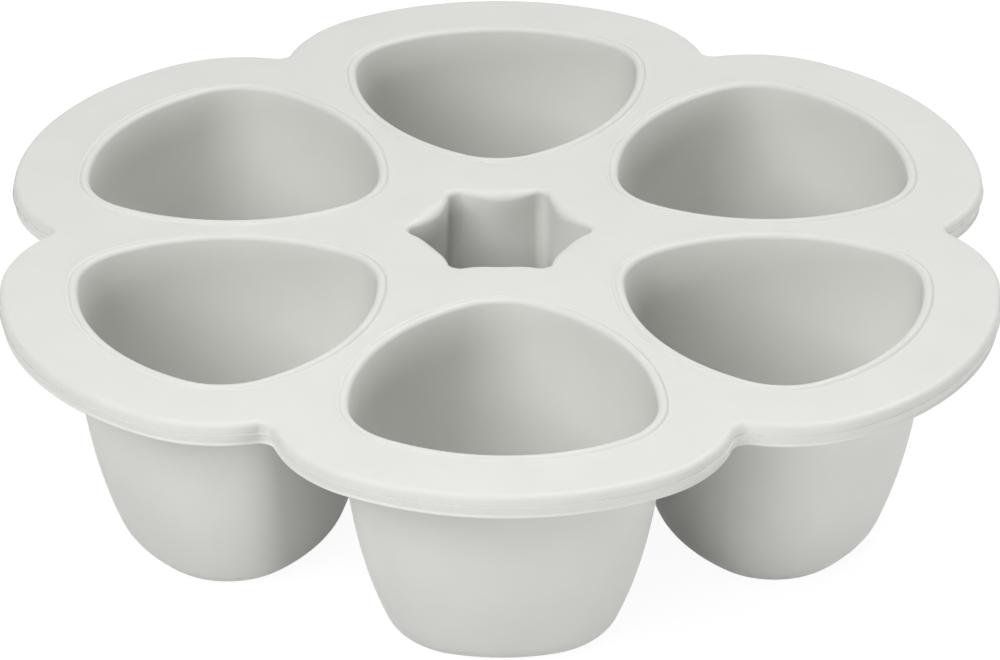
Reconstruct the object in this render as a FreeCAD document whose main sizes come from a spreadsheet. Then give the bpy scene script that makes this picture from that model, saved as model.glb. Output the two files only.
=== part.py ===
import FreeCAD, Part
import math
import os

import Sketcher
from FreeCAD import Placement, Rotation, Vector

# Flower-shaped silicone tray for freezing baby food: a flat deck with six petals, a deep
# rounded-triangle cup under each petal and a six-pointed hole through the middle.
#
# Frame: origin on the surface that the tray stands on, below the middle of the hole; +Z up;
# one cup points along -Y (the front). Millimetres.

# Driving dimensions. Each name is a cell alias of the Sizes sheet.
SIZES = {
    "cup_ring": (72.0, "distance from the middle of the tray to each cup's axis"),
    "deck_top": (60.0, "height of the deck's upper face above the floor"),
    "deck_thick": (5.4, "thickness of the deck"),
    # The rounded triangles of a cup's outer skin, at four heights. spread is the distance from
    # the cup's axis to the centre of each corner arc.
    "floor_spread": (8.2, "corner spread at the floor"),
    "floor_corner": (17.1, "corner radius at the floor"),
    "floor_side": (42.2, "side radius at the floor"),
    "lower_level": (19.5, "height of the lower section"),
    "lower_spread": (12.2, "corner spread of the lower section"),
    "lower_corner": (20.6, "corner radius of the lower section"),
    "lower_side": (49.0, "side radius of the lower section"),
    "upper_level": (39.5, "height of the upper section"),
    "upper_spread": (16.2, "corner spread of the upper section"),
    "upper_corner": (20.7, "corner radius of the upper section"),
    "upper_side": (52.3, "side radius of the upper section"),
    "mouth_spread": (20.3, "corner spread of the cup's mouth"),
    "mouth_corner": (16.8, "corner radius of the mouth, at the inner wall"),
    "mouth_side": (51.8, "side radius of the mouth, at the inner wall"),
    "cup_wall": (2.0, "thickness of a cup's wall and floor, and width of its lip"),
    "floor_round": (7.5, "rounding round the outside of the cup's floor"),
    "lip_rise": (0.4, "height of the lip above the deck"),
    "lip_round": (1.2, "rounding from the lip into the cup"),
    # The deck's outline is the cup's mouth, offset outwards.
    "petal_margin": (17.8, "width of the deck outside a cup's mouth"),
    "notch_round": (4.2, "rounding of the notch between two petals"),
    "edge_round": (2.3, "rounding of the deck's upper edge"),
    "edge_bevel": (0.4, "bevel of the deck's lower edge"),
    "parting_step": (0.2, "step of the parting line in the deck's edge"),
    "parting_level": (2.5, "height of the parting line above the deck's underside"),
    "hub_radius": (30.0, "radius of the web that joins the petals in the middle"),
    # The six-pointed hole.
    "star_spread": (17.4, "distance from the middle to the centre of each tip arc"),
    "star_tip": (3.7, "radius of the tips"),
    "star_side": (42.5, "radius of the sides, which curve inwards"),
    "bell_inner": (17.2, "radius at which the round bell mouth would turn upright"),
    "bell_round": (3.0, "rounding of the bell mouth"),
    "star_edge": (1.0, "rounding of the hole's upper edge, where it cuts the bell mouth"),
    "sleeve_wall": (2.2, "thickness of the sleeve below the hole"),
    "sleeve_base": (30.0, "height of the sleeve's lower end"),
}

CUP_ANGLES = {
    "cup_front": -90.0,
    "cup_front_right": -30.0,
    "cup_back_right": 30.0,
    "cup_back": 90.0,
    "cup_back_left": 150.0,
    "cup_front_left": 210.0,
}
PETALS = len(CUP_ANGLES)
STEP = 360.0 / PETALS  # degrees from one petal to the next
TOUCH = 0.001  # heights closer than this are the same height
X_AXIS = -1  # the sketcher's number for a sketch's own X axis
Y_AXIS = -2  # and for its Y axis
CENTRE = 3  # the sketcher's number for the centre point of an arc


class Length:
    """A number, with the spreadsheet expression that gives it."""

    def __init__(self, value, text):
        self.value = value
        self.text = text

    def __add__(self, other):
        return Length(self.value + other.value, f"{self.text} + {other.text}")

    def __sub__(self, other):
        return Length(self.value - other.value, f"{self.text} - ({other.text})")

    def __mul__(self, factor):
        return Length(self.value * factor, f"({self.text}) * {factor}")


def size(alias):
    return Length(SIZES[alias][0], f"Sizes.{alias}")


def fixed(value):
    return Length(value, str(value))


FLOOR = fixed(0.0)  # the level that the tray stands on
EXACT = fixed(0.0)  # no offset
CLEAR = fixed(1.0)  # how far a cut runs past the face it opens through


def write_sizes(doc):
    sheet = doc.addObject("Spreadsheet::Sheet", "Sizes")
    for row, (alias, (value, note)) in enumerate(SIZES.items(), start=1):
        sheet.set(f"A{row}", alias)
        sheet.set(f"B{row}", str(value))
        sheet.setAlias(f"B{row}", alias)
        sheet.set(f"C{row}", note)
    doc.recompute()


# ---------------------------------------------------------------- sketches


def origin_feature(body, role):
    for feature in body.Origin.OriginFeatures:
        if feature.Role == role:
            return feature
    raise ValueError(role)


def sketch_on(body, name, height=None, out=None, turn=0.0, role="XY_Plane"):
    """A sketch raised from one of the body's origin planes, moved out along +X or turned."""
    sketch = body.newObject("Sketcher::SketchObject", name)
    sketch.AttachmentSupport = [(origin_feature(body, role), "")]
    sketch.MapMode = "FlatFace"
    sketch.AttachmentOffset = Placement(Vector(0, 0, 0), Rotation(Vector(0, 0, 1), turn))
    for axis, distance in (("z", height), ("x", out)):
        if distance is not None:
            sketch.setExpression(f".AttachmentOffset.Base.{axis}", distance.text)
    return sketch


def drive(sketch, constraint, name, length):
    """Add a dimension and bind it to the sheet."""
    index = sketch.addConstraint(constraint)
    sketch.renameConstraint(index, name)
    sketch.setExpression(f"Constraints.{name}", length.text)


def place_centre(sketch, arc, name, along_x, along_y):
    """Give an arc's centre its two coordinates, both positive."""
    x_rule = Sketcher.Constraint("DistanceX", -1, 1, arc, CENTRE, along_x.value)
    y_rule = Sketcher.Constraint("DistanceY", -1, 1, arc, CENTRE, along_y.value)
    drive(sketch, x_rule, f"{name}_x", along_x)
    drive(sketch, y_rule, f"{name}_y", along_y)


def join_smoothly(sketch, count):
    """Each arc meets the next one tangentially, and the last meets the first."""
    for arc in range(count):
        sketch.addConstraint(Sketcher.Constraint("Tangent", arc, 2, (arc + 1) % count, 1))


def add_arc(sketch, centre, radius, first, last):
    circle = Part.Circle(centre, Vector(0, 0, 1), radius)
    sketch.addGeometry(Part.ArcOfCircle(circle, first, last), False)


def rounded_triangle(sketch, spread, corner, side):
    """Three wide arcs joined by three corner arcs. One side faces +X, one corner faces -X."""
    reach = math.sqrt((side.value - corner.value) ** 2 - 0.75 * spread.value**2)
    inset = reach - spread.value / 2  # from the axis back to the centre of a side arc
    half = math.atan2(spread.value * math.sqrt(3) / 2, reach)
    third = 2 * math.pi / 3
    for turn in range(3):
        middle = turn * third
        vertex = middle + third / 2
        side_centre = Vector(-inset * math.cos(middle), -inset * math.sin(middle), 0)
        corner_centre = Vector(spread.value * math.cos(vertex), spread.value * math.sin(vertex), 0)
        add_arc(sketch, side_centre, side.value, middle - half, middle + half)
        add_arc(sketch, corner_centre, corner.value, middle + half, middle + third - half)
    join_smoothly(sketch, 6)
    place_centre(sketch, 1, "corner", spread * 0.5, spread * (math.sqrt(3) / 2))
    sketch.addConstraint(Sketcher.Constraint("PointOnObject", 3, CENTRE, X_AXIS))
    back = Sketcher.Constraint("DistanceX", 3, CENTRE, -1, 1, spread.value)
    drive(sketch, back, "spread", spread)
    sketch.addConstraint(Sketcher.Constraint("Symmetric", 1, CENTRE, 5, CENTRE, X_AXIS))
    for arc, name, radius in ((0, "side", side), (1, "corner", corner)):
        drive(sketch, Sketcher.Constraint("Radius", arc, radius.value), f"{name}_radius", radius)
        sketch.addConstraint(Sketcher.Constraint("Equal", arc, arc + 2))
        sketch.addConstraint(Sketcher.Constraint("Equal", arc, arc + 4))


def star(sketch, spread, tip, side):
    """Six round tips, joined by sides that curve inwards. One tip faces +X."""
    sixth = math.pi / 3
    # Distance from the middle to the centre of a side arc, which lies between two tips.
    far = spread.value * math.cos(sixth / 2)
    far += math.sqrt((side.value + tip.value) ** 2 - (spread.value * math.sin(sixth / 2)) ** 2)
    for turn in range(6):
        towards_tip = turn * sixth
        towards_side = towards_tip + sixth / 2
        tip_centre = Vector(math.cos(towards_tip), math.sin(towards_tip), 0) * spread.value
        side_centre = Vector(math.cos(towards_side), math.sin(towards_side), 0) * far
        gap = side_centre - tip_centre
        lean = (math.atan2(gap.y, gap.x) - towards_tip) % (2 * math.pi)
        sweep = lean - sixth / 2
        facing = towards_side + math.pi
        add_arc(sketch, tip_centre, tip.value, towards_tip - lean, towards_tip + lean)
        add_arc(sketch, side_centre, side.value, facing - sweep, facing + sweep)
    for turn in range(6):
        tip_arc = 2 * turn
        side_arc = tip_arc + 1
        next_tip = (tip_arc + 2) % 12
        sketch.addConstraint(Sketcher.Constraint("Tangent", tip_arc, 2, side_arc, 2))
        sketch.addConstraint(Sketcher.Constraint("Tangent", side_arc, 1, next_tip, 1))
    first = Sketcher.Constraint("DistanceX", -1, 1, 0, CENTRE, spread.value)
    drive(sketch, first, "spread", spread)
    sketch.addConstraint(Sketcher.Constraint("PointOnObject", 0, CENTRE, X_AXIS))
    place_centre(sketch, 2, "tip", spread * 0.5, spread * (math.sqrt(3) / 2))
    for arc, twin, axis in ((2, 4, Y_AXIS), (0, 6, Y_AXIS), (4, 8, X_AXIS), (2, 10, X_AXIS)):
        sketch.addConstraint(Sketcher.Constraint("Symmetric", arc, CENTRE, twin, CENTRE, axis))
    for arc, name, radius in ((0, "tip", tip), (1, "side", side)):
        drive(sketch, Sketcher.Constraint("Radius", arc, radius.value), f"{name}_radius", radius)
        for twin in range(arc + 2, 12, 2):
            sketch.addConstraint(Sketcher.Constraint("Equal", arc, twin))


def disc(sketch, radius):
    sketch.addGeometry(Part.Circle(Vector(0, 0, 0), Vector(0, 0, 1), radius.value), False)
    sketch.addConstraint(Sketcher.Constraint("Coincident", 0, CENTRE, -1, 1))
    drive(sketch, Sketcher.Constraint("Radius", 0, radius.value), "radius", radius)


def bell_profile(sketch, inner, rounding, top):
    """The region above a quarter round that turns from the hole's side out to the deck."""
    outer = inner + rounding
    base = top - rounding
    roof = top + CLEAR
    core = inner - CLEAR
    corners = [
        Vector(outer.value, top.value, 0),
        Vector(outer.value, roof.value, 0),
        Vector(core.value, roof.value, 0),
        Vector(core.value, base.value, 0),
        Vector(inner.value, base.value, 0),
    ]
    for start, end in zip(corners, corners[1:]):
        sketch.addGeometry(Part.LineSegment(start, end), False)
    round_centre = Vector(outer.value, base.value, 0)
    add_arc(sketch, round_centre, rounding.value, math.pi / 2, math.pi)
    for line in range(3):
        sketch.addConstraint(Sketcher.Constraint("Coincident", line, 2, line + 1, 1))
    sketch.addConstraint(Sketcher.Constraint("Coincident", 3, 2, 4, 2))
    sketch.addConstraint(Sketcher.Constraint("Coincident", 4, 1, 0, 1))
    for line, rule in enumerate(("Vertical", "Horizontal", "Vertical", "Horizontal")):
        sketch.addConstraint(Sketcher.Constraint(rule, line))
    place_centre(sketch, 4, "round", outer, base)
    sketch.addConstraint(Sketcher.Constraint("Horizontal", 4, CENTRE, 4, 2))
    sketch.addConstraint(Sketcher.Constraint("Vertical", 4, CENTRE, 4, 1))
    drive(sketch, Sketcher.Constraint("Radius", 4, rounding.value), "rounding", rounding)
    drive(sketch, Sketcher.Constraint("DistanceY", 0, 1, 0, 2, CLEAR.value), "above", CLEAR)
    drive(sketch, Sketcher.Constraint("DistanceX", 3, 1, 3, 2, CLEAR.value), "inside", CLEAR)


# ---------------------------------------------------------------- features


def new_body(doc, name):
    body = doc.addObject("PartDesign::Body", name)
    body.Label = name
    return body


def pad(body, name, sketch, length):
    feature = body.newObject("PartDesign::Pad", name)
    feature.Profile = sketch
    feature.Length = length.value
    feature.setExpression("Length", length.text)
    return feature


def pocket_through(body, name, sketch):
    """Cut down through the body from a sketch on its upper face."""
    feature = body.newObject("PartDesign::Pocket", name)
    feature.Profile = sketch
    feature.Type = "ThroughAll"
    return feature


def loft(body, kind, name, sketches):
    feature = body.newObject(f"PartDesign::{kind}Loft", name)
    feature.Profile = sketches[0]
    feature.Sections = sketches[1:]
    feature.Ruled = False
    return feature


def around_tray(body, name, originals):
    feature = body.newObject("PartDesign::PolarPattern", name)
    feature.Originals = originals
    feature.Axis = (origin_feature(body, "Z_Axis"), [""])
    feature.Angle = 360.0
    feature.Occurrences = PETALS
    body.Tip = feature
    return feature


def dress(doc, body, kind, name, pick, amount):
    """Round or bevel the edges that pick finds on the body's shape."""
    doc.recompute()
    base = body.Tip
    wanted = pick(base.Shape)
    edges = enumerate(base.Shape.Edges, start=1)
    picked = [f"Edge{n}" for n, edge in edges if any(edge.isSame(one) for one in wanted)]
    if not picked:
        raise RuntimeError(f"{name} finds no edge on {body.Label}")
    feature = body.newObject(f"PartDesign::{kind}", name)
    feature.Base = (base, picked)
    dimension = "Radius" if kind == "Fillet" else "Size"
    setattr(feature, dimension, amount.value)
    feature.setExpression(dimension, amount.text)
    body.Tip = feature


def outer_rim(level):
    """Picks the outline of the flat face at a level."""
    return lambda shape: [edge for face in faces_at(shape, level) for edge in face.OuterWire.Edges]


def inner_rim(level):
    """Picks the edges of the holes in the flat face at a level."""

    def pick(shape):
        found = []
        for face in faces_at(shape, level):
            for wire in face.Wires:
                if not wire.isSame(face.OuterWire):
                    found.extend(wire.Edges)
        return found

    return pick


def faces_at(shape, level):
    def flat_at_level(face):
        box = face.BoundBox
        return box.ZLength < TOUCH and abs(box.ZMin - level.value) < TOUCH

    return [face for face in shape.Faces if flat_at_level(face)]


def notch_edges(shape):
    """Picks the upright edges in which two petals meet, midway between two cups."""

    def in_notch(edge):
        box = edge.BoundBox
        upright = box.ZLength > TOUCH and max(box.XLength, box.YLength) < TOUCH
        turn = math.degrees(math.atan2(box.Center.y, box.Center.x)) % STEP
        return upright and abs(turn - STEP / 2) < TOUCH

    return [edge for edge in shape.Edges if in_notch(edge)]


# ---------------------------------------------------------------- the pieces

def underside():
    return size("deck_top") - size("deck_thick")


def mouth_outline(sketch, margin):
    """A cup's mouth, offset outwards by margin."""
    corner = size("mouth_corner") + margin
    side = size("mouth_side") + margin
    rounded_triangle(sketch, size("mouth_spread"), corner, side)


def cup_section(body, name, level, section, inset=EXACT):
    """One horizontal section of a cup, moved in from its outer skin by inset."""
    sketch = sketch_on(body, name, level)
    corner = size(f"{section}_corner") - inset
    side = size(f"{section}_side") - inset
    rounded_triangle(sketch, size(f"{section}_spread"), corner, side)
    return sketch


def make_cup(doc, name, angle):
    """A deep cup, from its rounded floor up to the lip that stands in the deck's hole."""
    wall = size("cup_wall")
    lower = size("lower_level")
    upper = size("upper_level")
    lip_top = size("deck_top") + size("lip_rise")
    body = new_body(doc, name)

    shoulder = sketch_on(body, "Shoulder", underside())
    mouth_outline(shoulder, wall)
    skin = [
        cup_section(body, "FloorOutside", FLOOR, "floor"),
        cup_section(body, "LowerOutside", lower, "lower"),
        cup_section(body, "UpperOutside", upper, "upper"),
        shoulder,
    ]
    loft(body, "Additive", "Skin", skin)

    lip = sketch_on(body, "LipOutline", underside())
    mouth_outline(lip, wall)
    pad(body, "Lip", lip, size("deck_thick") + size("lip_rise"))

    mouth = sketch_on(body, "MouthInside", lip_top + CLEAR)
    mouth_outline(mouth, EXACT)
    hollow = [
        cup_section(body, "FloorInside", wall, "floor", wall),
        cup_section(body, "LowerInside", lower, "lower", wall),
        cup_section(body, "UpperInside", upper, "upper", wall),
        mouth,
    ]
    loft(body, "Subtractive", "Hollow", hollow)

    dress(doc, body, "Fillet", "FloorRound", outer_rim(FLOOR), size("floor_round"))
    dress(doc, body, "Fillet", "HollowRound", outer_rim(wall), size("floor_round") - wall)
    dress(doc, body, "Fillet", "LipRound", inner_rim(lip_top), size("lip_round"))
    place_on_ring(body, angle)
    return body


def place_on_ring(body, angle):
    """Stand a piece on the ring of cups, with its own +X pointing away from the middle."""
    along_x = size("cup_ring") * round(math.cos(math.radians(angle)), 9)
    along_y = size("cup_ring") * round(math.sin(math.radians(angle)), 9)
    turned = Rotation(Vector(0, 0, 1), angle)
    body.Placement = Placement(Vector(along_x.value, along_y.value, 0), turned)
    body.setExpression(".Placement.Base.x", along_x.text)
    body.setExpression(".Placement.Base.y", along_y.text)


def make_deck(doc):
    """The flat deck: six petals round a web, with six holes for the cups and the star hole."""
    ring = size("cup_ring")
    base = underside()
    top = size("deck_top")
    margin = size("petal_margin")
    parting = base + size("parting_level")
    body = new_body(doc, "flower_deck")

    lower_petal = sketch_on(body, "LowerPetal", base, ring)
    mouth_outline(lower_petal, margin)
    lower_pad = pad(body, "LowerPetalPad", lower_petal, size("parting_level"))
    upper_petal = sketch_on(body, "UpperPetal", parting, ring)
    mouth_outline(upper_petal, margin - size("parting_step"))
    upper_pad = pad(body, "UpperPetalPad", upper_petal, top - parting)
    around_tray(body, "Petals", [lower_pad, upper_pad])
    web = sketch_on(body, "Web", base)
    disc(web, size("hub_radius"))
    pad(body, "WebPad", web, size("deck_thick"))
    dress(doc, body, "Fillet", "NotchRound", notch_edges, size("notch_round"))
    dress(doc, body, "Fillet", "EdgeRound", outer_rim(top), size("edge_round"))
    dress(doc, body, "Chamfer", "EdgeBevel", outer_rim(base), size("edge_bevel"))

    cup_hole = sketch_on(body, "CupHole", top, ring)
    mouth_outline(cup_hole, size("cup_wall"))
    around_tray(body, "CupHoles", [pocket_through(body, "CupHolePocket", cup_hole)])

    bell = sketch_on(body, "BellProfile", role="YZ_Plane")
    bell_profile(bell, size("bell_inner"), size("bell_round"), top)
    groove = body.newObject("PartDesign::Groove", "BellMouth")
    groove.Profile = bell
    groove.ReferenceAxis = (bell, ["V_Axis"])
    groove.Angle = 360.0
    star_hole = sketch_on(body, "StarHole", top, turn=STEP / 2)
    star(star_hole, size("star_spread"), size("star_tip"), size("star_side"))
    pocket_through(body, "StarPocket", star_hole)
    dress(doc, body, "Fillet", "StarEdge", star_rim, size("star_edge"))
    body.Placement = Placement(Vector(0, 0, 0), Rotation(Vector(0, 0, 1), CUP_ANGLES["cup_front"]))
    return body


def star_rim(shape):
    """Picks the upper edges of the upright walls of the hole in the middle of the deck."""

    def walls_hole(face):
        middle = face.CenterOfMass
        in_hub = math.hypot(middle.x, middle.y) < size("hub_radius").value
        return in_hub and isinstance(face.Surface, Part.Cylinder)

    walls = [face for face in shape.Faces if walls_hole(face)]
    above = underside().value + TOUCH
    return [edge for face in walls for edge in face.Edges if edge.BoundBox.ZMin > above]


def make_sleeve(doc):
    """The open sleeve that carries the star hole down between the cups."""
    base = size("sleeve_base")
    wall = size("sleeve_wall")
    body = new_body(doc, "star_sleeve")
    outside = sketch_on(body, "Outside", base)
    star(outside, size("star_spread"), size("star_tip") + wall, size("star_side") - wall)
    pad(body, "OutsidePad", outside, underside() - base)
    inside = sketch_on(body, "Inside", underside())
    star(inside, size("star_spread"), size("star_tip"), size("star_side"))
    pocket_through(body, "InsidePocket", inside)
    return body


def check_document(doc, bodies):
    for item in doc.Objects:
        if "Invalid" in item.State or "Error" in item.State:
            raise RuntimeError(f"{item.Label} failed: {item.State}")
        if item.TypeId == "Sketcher::SketchObject" and not item.FullyConstrained:
            raise RuntimeError(f"{item.Label} is not fully constrained")
    for body in bodies:
        if body.Shape.isNull() or not body.Shape.isValid():
            raise RuntimeError(f"{body.Label} has no valid shape")
        if len(body.Shape.Solids) != 1:
            raise RuntimeError(f"{body.Label} is not one solid")


def main():
    doc = FreeCAD.newDocument("FreezerTray")
    write_sizes(doc)
    bodies = [make_deck(doc), make_sleeve(doc)]
    for name, angle in CUP_ANGLES.items():
        bodies.append(make_cup(doc, name, angle))
    doc.recompute()
    check_document(doc, bodies)
    os.makedirs("parts", exist_ok=True)
    for body in bodies:
        body.Shape.exportStep(f"parts/{body.Label}.step")
        print(f"{body.Label}: {body.Shape.Volume / 1000:.2f} ml of silicone")


main()
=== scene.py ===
import math

import bmesh
import bpy
from mathutils import Matrix, Vector


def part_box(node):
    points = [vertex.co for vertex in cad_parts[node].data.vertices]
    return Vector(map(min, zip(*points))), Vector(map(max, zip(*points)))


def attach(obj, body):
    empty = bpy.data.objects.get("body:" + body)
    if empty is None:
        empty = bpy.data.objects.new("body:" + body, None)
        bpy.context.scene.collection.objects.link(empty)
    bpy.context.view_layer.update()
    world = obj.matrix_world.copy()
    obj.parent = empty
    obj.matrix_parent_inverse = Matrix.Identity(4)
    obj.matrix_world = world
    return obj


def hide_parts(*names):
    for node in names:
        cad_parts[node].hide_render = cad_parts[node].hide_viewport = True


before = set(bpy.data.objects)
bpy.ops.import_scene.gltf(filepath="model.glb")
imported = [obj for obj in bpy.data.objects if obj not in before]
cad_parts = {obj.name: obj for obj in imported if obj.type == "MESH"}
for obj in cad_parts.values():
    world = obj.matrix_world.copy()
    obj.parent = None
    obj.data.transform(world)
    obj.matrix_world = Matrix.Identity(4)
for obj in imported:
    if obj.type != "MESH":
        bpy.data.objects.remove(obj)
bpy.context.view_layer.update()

# The tray is one soft moulding. Each piece below replaces one node of the frame, and the pieces
# meet where the moulding has a natural line: the groove round a lip, and the deck's underside.
# Sizes are in millimetres until add_piece turns them into metres.
MM = 0.001


def low(node, axis):
    """The least of a node's box along an axis."""
    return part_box(node)[0][axis] / MM


def high(node, axis):
    """The most of a node's box along an axis."""
    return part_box(node)[1][axis] / MM


Z = 2
THICKER = 0.5  # the photographed deck is this much thicker than the frame's
DECK_TOP = high("flower_deck", Z)
DECK_BASE = low("flower_deck", Z) - THICKER
LIP_TOP = high("cup_front", Z)
SLEEVE_BASE = low("star_sleeve", Z)

CUP_ANGLES = {
    "cup_front": -90.0,
    "cup_front_right": -30.0,
    "cup_back_right": 30.0,
    "cup_back": 90.0,
    "cup_back_left": 150.0,
    "cup_front_left": 210.0,
}
CUP_RING = 72.0  # from the middle of the tray to each cup's axis

# Rounded triangles: how far the corner arcs' centres are from the axis, the corner radius and
# the side radius.
FLOOR = (8.2, 17.1, 42.2)  # the outside of a cup, from the floor up to the deck's underside
LOWER = (12.2, 20.6, 49.0)
UPPER = (16.2, 20.7, 52.3)
TOP = (20.3, 18.8, 53.8)
MOUTH = (20.05, 16.8, 50.2)  # the inner wall at the lip
PETAL = (20.3, 34.56, 69.56)  # the deck's edge round a cup
LOWER_LEVEL = 19.5
UPPER_LEVEL = 39.5
MOUTH_RISE = 1.0  # the inner wall's slope would reach the mouth this far above the lip
WALL = 2.0
LIP_WIDTH = 2.35  # the lip is a little wider than the wall below it
FLOOR_ROUND = 7.5
LIP_ROUND = 1.2  # from the lip down into the cup
LIP_FALL = 0.75  # width of the lip's outer side, which falls into the groove round it
GROOVE_DEPTH = 0.2  # of the groove between the lip and the deck, below the deck
GROOVE_RISE = 0.5  # width of the groove's other side, which rises to the deck
FOOT_ROUND = 1.4  # where a cup or the sleeve turns into the deck's underside

NOTCH_ROUND = 2.8
RIM_ROUND = 1.3
# The rim's parting line is a ledge at the top of the band that runs round its lower half.
PARTING_STEP = 0.3  # from the band in to the rim's upper half
PARTING_LEVEL = 3.2  # above the deck's underside
BAND_CORNER = 0.12
BAND_LEAN = 0.6  # how far the band leans in from its top to its foot
BAND_DIP = 0.2  # from the foot's face in to the band's
BAND_FOOT = 0.35  # height of the foot, which stands out a little from the band
FOOT_CORNER = 0.35
SUPPORT = 0.2  # width of the flat strip that holds a rounding's shading

STAR_SPREAD = 18.5
STAR_TIP = 2.6
STAR_SIDE = 21.5
BROW_AT_TIP = (1.3, 1.2)  # width and depth of the rounding into the star hole
BROW_AT_SIDE = (3.2, 2.3)
SLEEVE_WALL = 2.2
SLEEVE_EDGE = 0.7

# The soft tray stands on its floors. Its top hangs a little to the front right, and less to the
# back left.
HANG_FRONT = 1.25
HANG_BACK = 0.7
HANG_START = 17.0
HANG_REACH = 170.0

HALF_STEP = math.pi / 6  # from a cup's direction to the line midway between two cups
THIRD = 2 * math.pi / 3

# How many steps the meshes take along a stretch.
CUP_SIDES = 180  # round a cup
ROUND_STEPS = 8  # along a quarter round
SMALL_ROUND_STEPS = 4
CORNER_STEPS = 3
OUTER_WALL_STEPS = 16
INNER_WALL_STEPS = 18
SLEEVE_STEPS = 6
BAND_STEPS = 4
GROOVE_STEPS = 5
PETAL_SIDE_STEPS = 14
PETAL_TURN_STEPS = 12
NOTCH_STEPS = 9
STAR_STEPS = 9
SEAM_STEPS = 36
DECK_STEPS = 6  # over the deck's top, from a cup to the edge
UNDER_STEPS = 4  # along the deck's underside
FLOOR_RINGS = (0.05, 0.3, 0.55, 0.8, 0.95)  # of a cup's floor, as shares of its width

SHARP_ANGLE = math.radians(50)
MERGE_DISTANCE = 0.002 * MM


def direction(angle):
    """A step of length 1 at an angle."""
    return Vector((math.cos(angle), math.sin(angle)))


def angle_of(vector):
    return math.atan2(vector.y, vector.x)


def quarter(steps=ROUND_STEPS):
    """Angles from 0 to 90 degrees."""
    return [math.pi / 2 * n / steps for n in range(steps + 1)]


def spread_evenly(first, last, count):
    """Values in equal steps, with both ends."""
    return [first + (last - first) * n / count for n in range(count + 1)]


def ease(share):
    """From 0 to 1, level at both ends."""
    return share * share * (3 - 2 * share)


# ---------------------------------------------------------------- rounded triangles


def grow(section, margin):
    """The rounded triangle that runs outside another at the same distance all round."""
    spread, corner, side = section
    return (spread, corner + margin, side + margin)


def side_inset(section):
    """How far a side arc's centre is behind the axis, and half the angle that the arc spans."""
    spread, corner, side = section
    reach = math.sqrt((side - corner) ** 2 - 0.75 * spread**2)
    return reach - spread / 2, math.atan2(spread * math.sqrt(3) / 2, reach)


def rounded_triangle(section, angle):
    """Distance from the axis to a rounded triangle. One side faces angle 0."""
    spread, corner, side = section
    inset, half = side_inset(section)
    turn = abs((angle + THIRD / 2) % THIRD - THIRD / 2)
    joint = math.atan2(side * math.sin(half), side * math.cos(half) - inset)
    if turn < joint:
        return math.sqrt(side**2 - (inset * math.sin(turn)) ** 2) - inset * math.cos(turn)
    turn = THIRD / 2 - turn
    return math.sqrt(corner**2 - (spread * math.sin(turn)) ** 2) + spread * math.cos(turn)


def between(levels, height):
    """The section at a height, on a smooth curve through the given levels."""
    section = [0.0, 0.0, 0.0]
    for level, known in levels:
        weight = 1.0
        for other, _ in levels:
            if other != level:
                weight *= (height - other) / (level - other)
        section = [total + weight * value for total, value in zip(section, known)]
    return tuple(section)


OUTSIDE = (
    (0.0, FLOOR),
    (LOWER_LEVEL, LOWER),
    (UPPER_LEVEL, UPPER),
    (DECK_BASE, TOP),
)
INSIDE = (
    (WALL, grow(FLOOR, -WALL)),
    (LOWER_LEVEL, grow(LOWER, -WALL)),
    (UPPER_LEVEL, grow(UPPER, -WALL)),
    (LIP_TOP + MOUTH_RISE, MOUTH),
)


# ---------------------------------------------------------------- meshes


def hang(point):
    """The point moved down as the soft tray hangs: not at all on the floor, and most at the top."""
    x, y, z = point
    depth = HANG_FRONT if x > y else HANG_BACK
    share = depth * (max(0.0, abs(x - y) - HANG_START) / HANG_REACH) ** 2 / LIP_TOP
    return Vector((x, y, z * (1 - share)))


def add_piece(name, node, points, faces):
    """A smooth closed mesh that rides on the tray and stands for one node of the frame."""
    mesh = bpy.data.meshes.new(name)
    mesh.from_pydata([hang(point) * MM for point in points], [], faces)
    shape = bmesh.new()
    shape.from_mesh(mesh)
    bmesh.ops.remove_doubles(shape, verts=shape.verts, dist=MERGE_DISTANCE)
    bmesh.ops.recalc_face_normals(shape, faces=shape.faces)
    shape.to_mesh(mesh)
    shape.free()
    mesh.shade_smooth()
    mesh.set_sharp_from_angle(angle=SHARP_ANGLE)
    piece = bpy.data.objects.new(name, mesh)
    bpy.context.scene.collection.objects.link(piece)
    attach(piece, "root")
    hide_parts(node)
    return piece


def join_rings(rings, closed=False):
    """Quads between neighbouring rings. Each ring is a list of point numbers."""
    faces = []
    following = rings[1:] + rings[:1] if closed else rings[1:]
    for ring, other in zip(rings, following):
        count = len(ring)
        for n in range(count):
            m = (n + 1) % count
            faces.append((ring[n], ring[m], other[m], other[n]))
    return faces


# ---------------------------------------------------------------- cups


def lean_at(levels, height):
    """The angle by which a cup's corner leans out from upright at a height."""
    step = 0.5
    below = rounded_triangle(between(levels, height - step), THIRD / 2)
    above = rounded_triangle(between(levels, height + step), THIRD / 2)
    return math.atan2(above - below, 2 * step)


def rounded_floor(levels, floor, radius):
    """Sections from the edge of the flat floor, round a fillet, up to the leaning wall."""
    lean = lean_at(levels, floor + radius)
    for turn in spread_evenly(0.0, math.pi / 2 - lean, ROUND_STEPS):
        rise = radius * (1 - math.cos(turn))
        gap = radius / math.cos(lean) - radius * math.sin(turn) - math.tan(lean) * (radius - rise)
        yield floor + rise, grow(between(levels, floor + rise), -gap)


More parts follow.
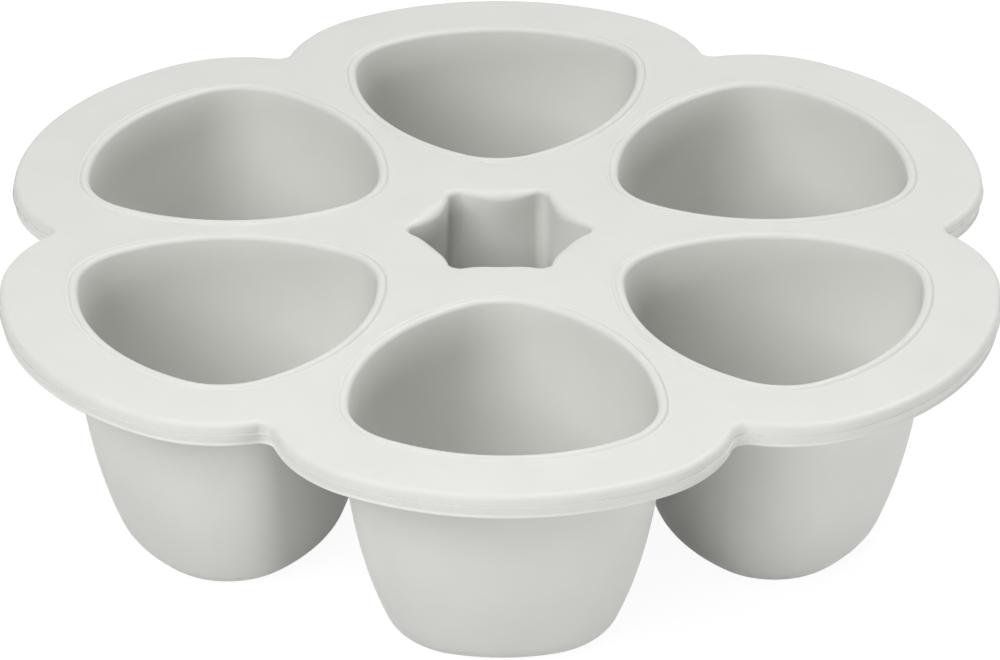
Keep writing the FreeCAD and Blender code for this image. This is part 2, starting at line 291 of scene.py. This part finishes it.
def cup_profile():
    """A cup's sections: up the outside, over the lip and down the inside."""
    yield from rounded_floor(OUTSIDE, 0.0, FLOOR_ROUND)
    foot = DECK_BASE - FOOT_ROUND
    for height in spread_evenly(FLOOR_ROUND, foot, OUTER_WALL_STEPS)[:-1]:
        yield height, between(OUTSIDE, height)
    for turn in quarter():
        height = foot + FOOT_ROUND * math.sin(turn)
        yield height, grow(between(OUTSIDE, height), FOOT_ROUND * (1 - math.cos(turn)))
    # Against the deck: its underside and the wall of its hole.
    yield DECK_BASE, grow(MOUTH, LIP_WIDTH)
    drop = LIP_TOP - DECK_TOP + GROOVE_DEPTH
    for share in spread_evenly(1.0, 0.0, ROUND_STEPS):
        yield LIP_TOP - drop * ease(share), grow(MOUTH, LIP_WIDTH - LIP_FALL * (1 - share))
    for turn in reversed(quarter()):
        height = LIP_TOP - LIP_ROUND * (1 - math.sin(turn))
        yield height, grow(between(INSIDE, height), LIP_ROUND * (1 - math.cos(turn)))
    inner_round = FLOOR_ROUND - WALL
    for height in spread_evenly(LIP_TOP - LIP_ROUND, FLOOR_ROUND, INNER_WALL_STEPS)[1:]:
        yield height, between(INSIDE, height)
    yield from reversed(list(rounded_floor(INSIDE, WALL, inner_round)))


def make_cup(node):
    """A cup, as rings from the middle of its underside, over the lip, to the middle inside."""
    turn_to = math.radians(CUP_ANGLES[node])
    outline = [(height, section, 1.0) for height, section in cup_profile()]
    under = [(0.0, outline[0][1], share) for share in FLOOR_RINGS]
    inner = [(WALL, outline[-1][1], share) for share in reversed(FLOOR_RINGS)]
    points = []
    rings = []
    axis = direction(turn_to) * CUP_RING
    for height, section, share in under + outline + inner:
        ring = []
        for turn in spread_evenly(0.0, 2 * math.pi, CUP_SIDES)[:-1]:
            place = axis + direction(turn + turn_to) * rounded_triangle(section, turn) * share
            ring.append(len(points))
            points.append((place.x, place.y, height))
        rings.append(ring)
    faces = join_rings(rings)
    for ring, height in ((rings[0], 0.0), (rings[-1], WALL)):
        middle = len(points)
        points.append((axis.x, axis.y, height))
        faces.extend((ring[n - 1], ring[n], middle) for n in range(CUP_SIDES))
    return add_piece(f"tray_{node}", node, points, faces)


# ---------------------------------------------------------------- star hole


def arc(centre, radius, first, last, count, hollow=False):
    """Points along an arc, each with the direction that points out of the silicone."""
    facing = -1 if hollow else 1
    for turn in spread_evenly(first, last, count):
        yield centre + direction(turn) * radius, direction(turn) * facing


def star_half():
    """The star hole's edge, from a tip to the middle of a side that faces angle 0."""
    far = STAR_SPREAD * math.cos(HALF_STEP)
    far += math.sqrt((STAR_SIDE + STAR_TIP) ** 2 - (STAR_SPREAD * math.sin(HALF_STEP)) ** 2)
    tip_centre = direction(HALF_STEP) * STAR_SPREAD
    side_centre = Vector((far, 0.0))
    lean = angle_of(side_centre - tip_centre)
    tip = list(arc(tip_centre, STAR_TIP, HALF_STEP, lean, STAR_STEPS, hollow=True))
    side = list(arc(side_centre, STAR_SIDE, math.pi + lean, math.pi, STAR_STEPS))
    return tip + side[1:]


def brow(place):
    """Width and depth of the rounding at a place on the star hole's edge."""
    share = math.cos(3 * angle_of(place)) ** 2
    return [tip + (side - tip) * share for tip, side in zip(BROW_AT_TIP, BROW_AT_SIDE)]


def sleeve_profile():
    """Offsets into the silicone and heights: down the hole, and up the sleeve's outside."""
    yield 0.0, DECK_BASE
    for height in spread_evenly(DECK_BASE, SLEEVE_BASE + SLEEVE_EDGE, SLEEVE_STEPS)[1:-1]:
        yield 0.0, height
    for turn in quarter():
        yield SLEEVE_EDGE * (1 - math.cos(turn)), SLEEVE_BASE + SLEEVE_EDGE * (1 - math.sin(turn))
    for turn in quarter():
        back = SLEEVE_WALL - SLEEVE_EDGE * (1 - math.sin(turn))
        yield back, SLEEVE_BASE + SLEEVE_EDGE * (1 - math.cos(turn))
    foot = DECK_BASE - FOOT_ROUND
    for height in spread_evenly(SLEEVE_BASE + SLEEVE_EDGE, foot, SLEEVE_STEPS)[1:-1]:
        yield SLEEVE_WALL, height
    for turn in quarter():
        yield SLEEVE_WALL + FOOT_ROUND * (1 - math.cos(turn)), foot + FOOT_ROUND * math.sin(turn)


def mirror(vector):
    """The other side of the line at angle 0."""
    return Vector((vector.x, -vector.y))


def make_sleeve():
    """The sleeve that carries the star hole down between the cups."""
    half = star_half()
    mirrored = [(mirror(place), mirror(facing)) for place, facing in reversed(half)]
    sector = half + mirrored[1:-1]
    edge = []
    for n in range(6):
        turn = Matrix.Rotation(math.radians(CUP_ANGLES["cup_front"]) - 2 * HALF_STEP * n, 2)
        edge.extend((turn @ place, turn @ facing) for place, facing in sector)
    points = []
    rings = []
    for back, height in sleeve_profile():
        ring = []
        for place, facing in edge:
            moved = place - facing * back
            ring.append(len(points))
            points.append((moved.x, moved.y, height))
        rings.append(ring)
    return add_piece("tray_star_sleeve", "star_sleeve", points, join_rings(rings, closed=True))


# ---------------------------------------------------------------- deck


def petal_half():
    """A petal's edge, from the middle of its outer side to the bottom of the notch."""
    spread, corner, side = PETAL
    inset, half = side_inset(PETAL)
    axis = Vector((CUP_RING, 0.0))
    corner_centre = axis + direction(THIRD / 2) * spread
    # The notch's round has its centre on the line midway between two cups.
    midway = direction(HALF_STEP)
    along = corner_centre.dot(midway)
    across = (corner_centre - midway * along).length
    notch_centre = midway * (along + math.sqrt((corner + NOTCH_ROUND) ** 2 - across**2))
    lean = angle_of(notch_centre - corner_centre)
    outer = arc(axis - Vector((inset, 0.0)), side, 0.0, half, PETAL_SIDE_STEPS)
    turn = arc(corner_centre, corner, half, lean, PETAL_TURN_STEPS)
    first = math.pi + lean
    last = math.pi + HALF_STEP
    notch = arc(notch_centre, NOTCH_ROUND, first, last, NOTCH_STEPS, hollow=True)
    return list(outer) + list(turn)[1:] + list(notch)[1:]


def rim_profile(_place):
    """Offsets into the deck and heights, over its edge to the underside. The same all round."""
    yield PARTING_STEP + RIM_ROUND + SUPPORT, DECK_TOP
    for turn in quarter():
        back = PARTING_STEP + RIM_ROUND * (1 - math.sin(turn))
        yield back, DECK_TOP - RIM_ROUND * (1 - math.cos(turn))
    parting = DECK_BASE + PARTING_LEVEL
    yield PARTING_STEP, parting
    for turn in quarter(CORNER_STEPS):
        yield BAND_CORNER * (1 - math.sin(turn)), parting - BAND_CORNER * (1 - math.cos(turn))
    # From the bottom of the band out to the foot's face.
    for share in spread_evenly(0.0, 1.0, BAND_STEPS):
        height = DECK_BASE + BAND_FOOT * (3 - 2 * share)
        yield BAND_LEAN + BAND_DIP * (1 - ease(share)), height
    for turn in quarter(SMALL_ROUND_STEPS):
        back = BAND_LEAN + FOOT_CORNER * (1 - math.cos(turn))
        yield back, DECK_BASE + FOOT_CORNER * (1 - math.sin(turn))
    yield BAND_LEAN + FOOT_CORNER + SUPPORT, DECK_BASE


def star_profile(place):
    """Offsets into the deck and heights, over the brow and down the star hole."""
    width, depth = brow(place)
    yield width + SUPPORT, DECK_TOP
    for turn in quarter():
        yield width * (1 - math.sin(turn)), DECK_TOP - depth * (1 - math.cos(turn))
    yield 0.0, (DECK_TOP - depth + DECK_BASE) / 2
    yield 0.0, DECK_BASE


def edge_column(place, facing, profile):
    """The deck's edge at one place, as points from the flat top to the flat underside."""
    column = []
    for back, height in profile(place):
        moved = place - facing * back
        column.append(Vector((moved.x, moved.y, height)))
    return column


def deck_half():
    """The boundary of half a sector of the deck, each place as a column of points."""
    rim = [("rim", edge_column(*stop, rim_profile)) for stop in petal_half()]
    star = [("star", edge_column(*stop, star_profile)) for stop in star_half()]
    notch_reach = rim[-1][1][0].to_2d().length
    tip_reach = star[0][1][0].to_2d().length
    seam = []
    for reach in spread_evenly(notch_reach, tip_reach, SEAM_STEPS)[1:-1]:
        place = direction(HALF_STEP) * reach
        seam.append(("seam", [Vector((*place, DECK_TOP)), Vector((*place, DECK_BASE))]))
    return rim + seam + star


def hole_profile():
    """Offsets from a cup's mouth and heights, up the hole's wall and onto the deck."""
    yield LIP_WIDTH, DECK_BASE
    for share in spread_evenly(0.0, 1.0, GROOVE_STEPS):
        yield LIP_WIDTH + GROOVE_RISE * share, DECK_TOP - GROOVE_DEPTH * (1 - ease(share))
    yield LIP_WIDTH + GROOVE_RISE + SUPPORT, DECK_TOP


def top_line(edge_top):
    """Points from the bottom of the cup's hole up and out to the deck's edge."""
    axis = Vector((CUP_RING, 0.0))
    turn = angle_of(edge_top.to_2d() - axis)
    line = []
    for out, height in hole_profile():
        place = axis + direction(turn) * rounded_triangle(grow(MOUTH, out), turn)
        line.append(Vector((place.x, place.y, height)))
    start = line[-1]
    line.extend(start.lerp(edge_top, share) for share in spread_evenly(0.0, 1.0, DECK_STEPS)[1:])
    return line


def join_lines(line, other):
    """Quads between two lines of point numbers."""
    return [(line[n], line[n + 1], other[n + 1], other[n]) for n in range(len(line) - 1)]


def deck_sector():
    """The deck round one cup, as points and faces. Its seams are open and meet the next sector's."""
    half = deck_half()
    flipped = []
    for kind, column in reversed(half):
        flipped.append((kind, [Vector((p.x, -p.y, p.z)) for p in column]))
    boundary = half + flipped[1:-1]
    points = []
    lines = []
    for kind, column in boundary:
        top = top_line(column[0])
        across = spread_evenly(0.0, 1.0, UNDER_STEPS)[:-1]
        under = [column[-1].lerp(top[0], share) for share in across]
        loop = top + column[1:-1] + under
        numbers = list(range(len(points), len(points) + len(loop)))
        points.extend(loop)
        edge = numbers[len(top) : -UNDER_STEPS]
        lines.append((kind, numbers[: len(top)], edge, numbers[-UNDER_STEPS:]))
    faces = []
    for n, (kind, top, edge, under) in enumerate(lines):
        next_kind, next_top, next_edge, next_under = lines[(n + 1) % len(lines)]
        faces.extend(join_lines(top, next_top))
        faces.extend(join_lines(under + top[:1], next_under + next_top[:1]))
        if kind == next_kind != "seam":
            near = [top[-1]] + edge + [under[0]]
            far = [next_top[-1]] + next_edge + [next_under[0]]
            faces.extend(join_lines(near, far))
    return points, faces


def make_deck():
    """The deck, as six sectors whose seams are merged."""
    points, faces = deck_sector()
    all_points = []
    all_faces = []
    for angle in CUP_ANGLES.values():
        turn = Matrix.Rotation(math.radians(angle), 3, "Z")
        first = len(all_points)
        all_points.extend(turn @ point for point in points)
        all_faces.extend(tuple(first + number for number in face) for face in faces)
    return add_piece("tray_flower_deck", "flower_deck", all_points, all_faces)


# ---------------------------------------------------------------- camera and light

# The photograph's viewing angle: a long lens, from in front and above.
LENS_MM = 217.6
SENSOR_MM = 36.0
AZIMUTH = math.radians(-0.662)
ELEVATION = math.radians(29.196)
ROLL = math.radians(0.164)
CAMERA_DISTANCE = 1.360
CAMERA_TARGET = Vector((-0.37, -48.53, DECK_TOP)) * MM
CLIP_START = 0.05
CLIP_END = 20.0


def add_camera():
    """The scene's camera. `back` points from the target to it."""
    back = Vector(
        (
            math.sin(AZIMUTH) * math.cos(ELEVATION),
            -math.cos(AZIMUTH) * math.cos(ELEVATION),
            math.sin(ELEVATION),
        )
    )
    right = Vector((math.cos(AZIMUTH), math.sin(AZIMUTH), 0.0))
    up = back.cross(right)
    rolled_right = math.cos(ROLL) * right + math.sin(ROLL) * up
    rolled_up = -math.sin(ROLL) * right + math.cos(ROLL) * up
    data = bpy.data.cameras.new("camera")
    data.lens = LENS_MM
    data.sensor_width = SENSOR_MM
    data.clip_start = CLIP_START
    data.clip_end = CLIP_END
    camera = bpy.data.objects.new("camera", data)
    turn = Matrix((rolled_right, rolled_up, back)).transposed().to_4x4()
    camera.matrix_world = Matrix.Translation(CAMERA_TARGET + back * CAMERA_DISTANCE) @ turn
    bpy.context.scene.collection.objects.link(camera)
    bpy.context.scene.camera = camera


def add_softbox(name, azimuth, elevation, distance, size, power):
    """A square soft light that faces the tray. Azimuth 0 is in front of it and 90 to its right."""
    turn = math.radians(azimuth)
    lift = math.radians(elevation)
    towards = Vector(
        (math.sin(turn) * math.cos(lift), -math.cos(turn) * math.cos(lift), math.sin(lift))
    )
    data = bpy.data.lights.new(name, "AREA")
    data.shape = "SQUARE"
    data.size = size
    data.energy = power
    light = bpy.data.objects.new(name, data)
    light.location = towards * distance
    light.rotation_mode = "QUATERNION"
    light.rotation_quaternion = towards.to_track_quat("Z", "Y")
    bpy.context.scene.collection.objects.link(light)


# Softboxes: azimuth, elevation, distance and side length in metres, and power in watts.
SOFTBOXES = {
    "softbox_back": (142.0, 57.0, 1.3, 0.6, 10.6),
    "softbox_left": (-60.0, 35.0, 1.3, 0.6, 6.3),
    "softbox_key": (-30.0, 35.0, 1.3, 0.6, 5.3),
    "softbox_low_right": (80.0, 7.0, 1.3, 0.3, 2.3),
    "softbox_low_front": (42.0, 6.0, 1.3, 0.3, 4.2),
    "softbox_near": (-8.0, 60.0, 0.45, 0.3, 0.44),
}
WORLD_STRENGTH = 0.0  # of the light on matt surfaces. The camera and reflections see white.
WHITE = (1.0, 1.0, 1.0, 1.0)


def seen_directly(nodes, links):
    """A factor of 1 for what the camera, a reflection or a refraction sees, and 0 for light."""
    path = nodes.new("ShaderNodeLightPath")
    total = path.outputs["Is Camera Ray"]
    for kind in ("Is Glossy Ray", "Is Transmission Ray"):
        add = nodes.new("ShaderNodeMath")
        add.operation = "ADD"
        add.use_clamp = True
        links.new(total, add.inputs[0])
        links.new(path.outputs[kind], add.inputs[1])
        total = add.outputs["Value"]
    return total


def light_studio():
    """The softboxes, and a world that is white to the camera and in reflections."""
    for name, placing in SOFTBOXES.items():
        add_softbox(name, *placing)
    world = bpy.data.worlds.new("studio")
    world.use_nodes = True
    nodes = world.node_tree.nodes
    links = world.node_tree.links
    background = nodes["Background"]
    background.inputs["Color"].default_value = WHITE
    background.inputs["Strength"].default_value = WORLD_STRENGTH
    white = nodes.new("ShaderNodeBackground")
    white.inputs["Color"].default_value = WHITE
    mix = nodes.new("ShaderNodeMixShader")
    links.new(seen_directly(nodes, links), mix.inputs["Fac"])
    links.new(background.outputs["Background"], mix.inputs[1])
    links.new(white.outputs["Background"], mix.inputs[2])
    links.new(mix.outputs["Shader"], nodes["World Output"].inputs["Surface"])
    bpy.context.scene.world = world


FLOOR_SIZE = 6.0
FLOOR_COLOUR = (0.8, 0.8, 0.8, 1.0)
FLOOR_ROUGHNESS = 0.9
FLOOR_GLOW = 0.85  # how much of what the camera sees is plain white, and not light and shadow
GLOW_STRENGTH = 1.1


def add_floor():
    """Pale paper that looks nearly white and keeps a faint shadow."""
    data = bpy.data.meshes.new("floor")
    half = FLOOR_SIZE / 2
    corners = [(-half, -half, 0), (half, -half, 0), (half, half, 0), (-half, half, 0)]
    data.from_pydata(corners, [], [(0, 1, 2, 3)])
    floor = bpy.data.objects.new("floor", data)
    bpy.context.scene.collection.objects.link(floor)
    material = bpy.data.materials.new("floor")
    material.use_nodes = True
    nodes = material.node_tree.nodes
    links = material.node_tree.links
    paper = nodes["Principled BSDF"]
    paper.inputs["Base Color"].default_value = FLOOR_COLOUR
    paper.inputs["Roughness"].default_value = FLOOR_ROUGHNESS
    paper.inputs["Specular IOR Level"].default_value = 0.0
    white = nodes.new("ShaderNodeEmission")
    white.inputs["Color"].default_value = WHITE
    white.inputs["Strength"].default_value = GLOW_STRENGTH
    share = nodes.new("ShaderNodeMath")
    share.operation = "MULTIPLY"
    share.inputs[1].default_value = FLOOR_GLOW
    mix = nodes.new("ShaderNodeMixShader")
    links.new(seen_directly(nodes, links), share.inputs[0])
    links.new(share.outputs["Value"], mix.inputs["Fac"])
    links.new(paper.outputs["BSDF"], mix.inputs[1])
    links.new(white.outputs["Emission"], mix.inputs[2])
    links.new(mix.outputs["Shader"], nodes["Material Output"].inputs["Surface"])
    data.materials.append(material)


# ---------------------------------------------------------------- silicone

PALE = (0.65, 0.65, 0.624, 1.0)
DARKER = (0.635, 0.635, 0.608, 1.0)
CLOUD_EDGES = (0.35, 0.65)  # of the noise, where the colour starts and stops changing
MATT = (0.5, 0.62)  # least and most roughness
SILICONE_IOR = 1.41
MOTTLE_SIZE = 14 * MM  # of the faint clouds in the silicone's colour
SHEEN_SIZE = 3 * MM  # of the patches in which the surface is a little more or less matt
GRAIN_SIZE = 0.35 * MM  # of the texture that the mould leaves
GRAIN_DEPTH = 0.006 * MM
WAVE_SIZE = 9 * MM  # of the slow unevenness of the surface
WAVE_DEPTH = 0.012 * MM


def noise(nodes, links, place, size, detail=2.0):
    """Noise whose patches have a given size."""
    texture = nodes.new("ShaderNodeTexNoise")
    texture.inputs["Scale"].default_value = 1 / size
    texture.inputs["Detail"].default_value = detail
    links.new(place, texture.inputs["Vector"])
    return texture.outputs["Fac"]


def bump(nodes, links, height, depth, under=None):
    """A normal that follows a height, laid over another normal if one is given."""
    shape = nodes.new("ShaderNodeBump")
    shape.inputs["Strength"].default_value = 1.0
    shape.inputs["Distance"].default_value = depth
    links.new(height, shape.inputs["Height"])
    if under is not None:
        links.new(under, shape.inputs["Normal"])
    return shape.outputs["Normal"]


def silicone():
    """Soft matt silicone: faint clouds of colour over a fine moulded grain."""
    material = bpy.data.materials.new("silicone")
    material.use_nodes = True
    nodes = material.node_tree.nodes
    links = material.node_tree.links
    shader = nodes["Principled BSDF"]
    shader.inputs["IOR"].default_value = SILICONE_IOR
    place = nodes.new("ShaderNodeTexCoord").outputs["Object"]

    clouds = noise(nodes, links, place, MOTTLE_SIZE, detail=4.0)
    colour = nodes.new("ShaderNodeValToRGB")
    for stop, position, tone in zip(colour.color_ramp.elements, CLOUD_EDGES, (DARKER, PALE)):
        stop.position = position
        stop.color = tone
    links.new(clouds, colour.inputs["Fac"])
    links.new(colour.outputs["Color"], shader.inputs["Base Color"])

    matt = nodes.new("ShaderNodeMapRange")
    matt.inputs["To Min"].default_value = MATT[0]
    matt.inputs["To Max"].default_value = MATT[1]
    links.new(noise(nodes, links, place, SHEEN_SIZE), matt.inputs["Value"])
    links.new(matt.outputs["Result"], shader.inputs["Roughness"])

    waves = bump(nodes, links, noise(nodes, links, place, WAVE_SIZE), WAVE_DEPTH)
    grain = noise(nodes, links, place, GRAIN_SIZE, detail=1.0)
    normal = bump(nodes, links, grain, GRAIN_DEPTH, under=waves)
    links.new(normal, shader.inputs["Normal"])
    return material


material = silicone()
pieces = [make_deck(), make_sleeve()] + [make_cup(node) for node in CUP_ANGLES]
for piece in pieces:
    piece.data.materials.append(material)
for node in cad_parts.values():
    node.data.materials.clear()
    node.data.materials.append(material)
add_camera()
light_studio()
add_floor()

scene = bpy.context.scene
scene.view_settings.view_transform = "Standard"
